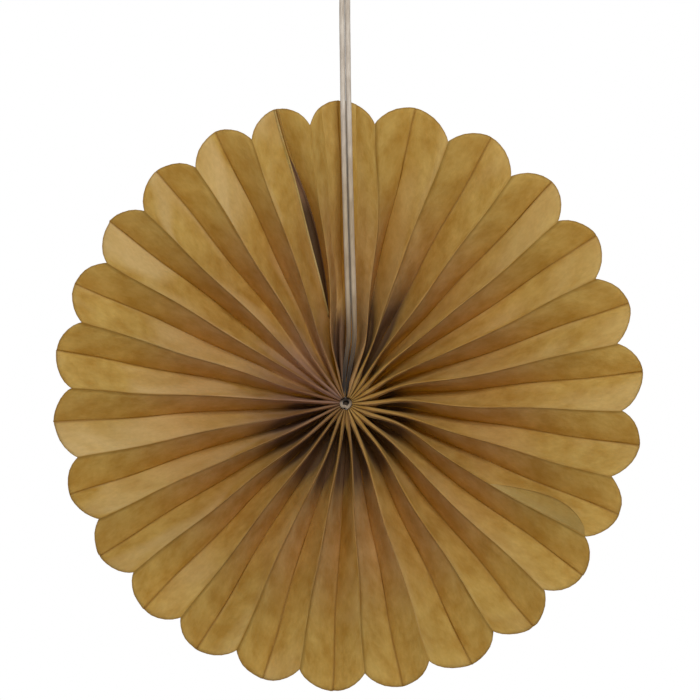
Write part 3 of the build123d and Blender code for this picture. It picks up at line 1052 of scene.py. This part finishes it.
class ROSETTE_OT_knot(bpy.types.Operator):
    """Winds the knot that ties the two strands together below the loop"""

    bl_idname = "rosette.knot"
    bl_label = "Knot"

    def execute(self, context):
        settings = context.scene.rosette_string
        low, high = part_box("top_knot")
        radius = settings.diameter / 2
        wide = (high[0] - low[0]) / 2 - radius
        deep = (high[1] - low[1]) / 2 - radius
        bottom, top = low[2] + radius, high[2] - radius
        points = []
        for step in range(KNOT_TURNS * KNOT_STEPS + 1):
            angle = math.tau * step / KNOT_STEPS - math.pi / 2
            height = bottom + (top - bottom) * step / (KNOT_TURNS * KNOT_STEPS)
            x, y = wide * KNOT_SPREAD * math.cos(angle), deep * KNOT_SPREAD * math.sin(angle)
            points.append((x, y, height))
        line = nurbs_points("knot route", points)
        mesh = string_mesh(context, "knot route", line, settings.diameter)
        new_piece("knot", mesh, ["top_knot"])
        return {"FINISHED"}


class ROSETTE_OT_hub_tie(bpy.types.Operator):
    """Ties the hub: a ring of string in the mouth of the pleats, and the bend of the doubled string"""

    bl_idname = "rosette.hub_tie"
    bl_label = "Hub tie"

    def execute(self, context):
        settings = context.scene.rosette_string
        across, back, up, gap = STRING_PAIR[0]
        bend = ((across - gap, back, up), *HUB_BEND, (across + gap, back, up))
        for name, route, diameter, tightness in (
            ("hub_bend", bend, settings.diameter, settings.tightness),
            ("hub_ring", HUB_TURN, settings.tie_diameter, 1.0),
            ("hub_core", HUB_CORE, settings.core_diameter, 1.0),
        ):
            line = nurbs_points(f"{name} route", [from_hub(*point) for point in route])
            mesh = string_mesh(context, f"{name} route", line, diameter, tightness)
            new_piece(name, mesh, ["hub_tie"])
        return {"FINISHED"}


class ROSETTE_OT_paper_fan(bpy.types.Operator):
    """Folds the strip of paper into its ring of pleats"""

    bl_idname = "rosette.paper_fan"
    bl_label = "Paper fan"

    def execute(self, context):
        settings = context.scene.rosette_paper
        folds = all_folds()
        paper = kraft_tissue(settings)
        tree = pleats_tree(paper)
        values = {
            "Folds": len(folds), "Rows": settings.rows, "Columns": settings.columns,
            "Panel width": settings.pleat_width, "Strip width": settings.fan_radius,
            "Crest radius": settings.crest_radius, "Rim crest radius": settings.rim_crest_radius,
            "Trough": settings.trough, "Roundness": settings.roundness,
            "Wrinkle height": settings.wrinkle_height, "Wrinkle size": settings.wrinkle_size, "Hub": HUB[:],
        }
        sheet = grown_mesh("pleats", fold_lines(settings, folds), tree, values)
        new_piece("paper_pleats", thickened(sheet, settings.thickness), ["paper_fan"])
        extras = {"paper_lap": lap_mesh(settings, folds, sheet), "paper_lip": lip_mesh(settings, folds)}
        for name, mesh in extras.items():
            mesh.materials.append(paper)
            new_piece(name, thickened(mesh, settings.thickness), ["paper_fan"])
        return {"FINISHED"}


# Stage


class RosetteStage(bpy.types.PropertyGroup):
    """Camera and studio light"""

    distance: length_setting("Camera distance", "Camera to the middle of the fan", 1200)
    view_width: length_setting("View width", "Width of what the camera sees at the fan", 180.8)
    key: bpy.props.FloatProperty(
        name="Key light", description="Power of the key light, in watts", default=15.3
    )
    ambient: bpy.props.FloatProperty(
        name="Ambient light", description="Strength of the room's light", default=0.14
    )
    floor_drop: length_setting("Floor drop", "Hub down to the floor", 130)


# The photograph's middle, from the hub, and the key light's place and width
FRAME_MIDDLE = (1.03 * MM, 0, 13.7 * MM)
KEY_DIRECTION, KEY_DISTANCE, KEY_WIDTH = (0.19, -1.7, 0.97), 1.4, 0.45
FLOOR_HALF_WIDTH = 0.5


def aimed_at(place, target):
    """The turn that points a camera or lamp at a target."""
    return (Vector(target) - Vector(place)).to_track_quat("-Z", "Y").to_euler()


def studio_world(settings):
    """Even light for the object, and a white backdrop for what the camera and the gloss see."""
    world = bpy.data.worlds.new("Studio")
    world.use_nodes = True
    world.node_tree.nodes.clear()
    add = partial(add_node, world.node_tree)
    rays = add("ShaderNodeLightPath").node.outputs
    seen = add(MATHS, rays["Is Camera Ray"], rays["Is Glossy Ray"], operation="MAXIMUM")
    seen = add(MATHS, seen, rays["Is Transmission Ray"], operation="MAXIMUM")
    strength = add(MIX, seen, settings.ambient, 1.0)
    sky = add("ShaderNodeBackground", (1, 1, 1, 1), strength)
    add("ShaderNodeOutputWorld", sky)
    return world


def floor_material():
    """Matt white studio board, painted"""
    material, add = new_material("Painted studio board")
    grain = add("ShaderNodeTexNoise", named={"Scale": 40.0})
    colour = add(MIX, grain, rgba(linear("#F4F3F0")), rgba(linear("#F8F7F5")), data_type="RGBA")
    board = add("ShaderNodeBsdfPrincipled", named={"Base Color": colour, "Roughness": 0.9})
    add("ShaderNodeOutputMaterial", board)
    return material


class ROSETTE_OT_stage(bpy.types.Operator):
    """Sets up the camera, the soft studio light and the floor"""

    bl_idname = "rosette.stage"
    bl_label = "Stage"

    def execute(self, context):
        settings = context.scene.rosette_stage
        scene = context.scene
        scene.view_settings.view_transform = "Standard"
        scene.world = studio_world(settings)

        middle = HUB + Vector(FRAME_MIDDLE)
        camera = bpy.data.objects.new("Camera", bpy.data.cameras.new("Camera"))
        camera.data.lens = camera.data.sensor_width * settings.distance / settings.view_width
        camera.location = middle - Vector((0, settings.distance, 0))
        camera.rotation_euler = aimed_at(camera.location, middle)
        scene.collection.objects.link(camera)
        scene.camera = camera

        # Soft key light from in front, above and to the right
        lamp = bpy.data.lights.new("Key", "AREA")
        lamp.energy = settings.key
        lamp.size = KEY_WIDTH
        key = bpy.data.objects.new("Key", lamp)
        key.location = HUB + Vector(KEY_DIRECTION).normalized() * KEY_DISTANCE
        key.rotation_euler = aimed_at(key.location, HUB)
        scene.collection.objects.link(key)

        floor_mesh = bpy.data.meshes.new("floor")
        corners = [(-1, -1), (1, -1), (1, 1), (-1, 1)]
        height = HUB.z - settings.floor_drop
        floor_mesh.from_pydata(
            [(x * FLOOR_HALF_WIDTH, y * FLOOR_HALF_WIDTH, height) for x, y in corners], [], [(0, 1, 2, 3)]
        )
        floor_mesh.materials.append(floor_material())
        floor = bpy.data.objects.new("floor", floor_mesh)
        scene.collection.objects.link(floor)
        return {"FINISHED"}


class ROSETTE_PT_sidebar(bpy.types.Panel):
    """Lists the pieces of the rosette and their settings"""

    bl_idname = "ROSETTE_PT_sidebar"
    bl_label = "Paper fan rosette"
    bl_space_type = "VIEW_3D"
    bl_region_type = "UI"
    bl_category = "Rosette"

    def draw(self, context):
        for operator in OPERATORS:
            self.layout.operator(operator.bl_idname)
        for name in SETTINGS:
            box = self.layout.box()
            group = getattr(context.scene, name)
            for key in group.__annotations__:
                box.prop(group, key)


OPERATORS = (
    ROSETTE_OT_stage,
    ROSETTE_OT_knot,
    ROSETTE_OT_hanging_string,
    ROSETTE_OT_hub_tie,
    ROSETTE_OT_paper_fan,
)
SETTINGS = {"rosette_paper": RosettePaper, "rosette_string": RosetteString, "rosette_stage": RosetteStage}


def register():
    for group in (*SETTINGS.values(), *OPERATORS, ROSETTE_PT_sidebar):
        bpy.utils.register_class(group)
    for name, group in SETTINGS.items():
        setattr(bpy.types.Scene, name, bpy.props.PointerProperty(type=group))


def unregister():
    for name in SETTINGS:
        delattr(bpy.types.Scene, name)
    for group in (ROSETTE_PT_sidebar, *OPERATORS, *SETTINGS.values()):
        bpy.utils.unregister_class(group)


def main():
    register()
    bpy.ops.rosette.stage()
    bpy.ops.rosette.knot()
    bpy.ops.rosette.hanging_string()
    bpy.ops.rosette.hub_tie()
    bpy.ops.rosette.paper_fan()


if __name__ == "__main__":
    main()
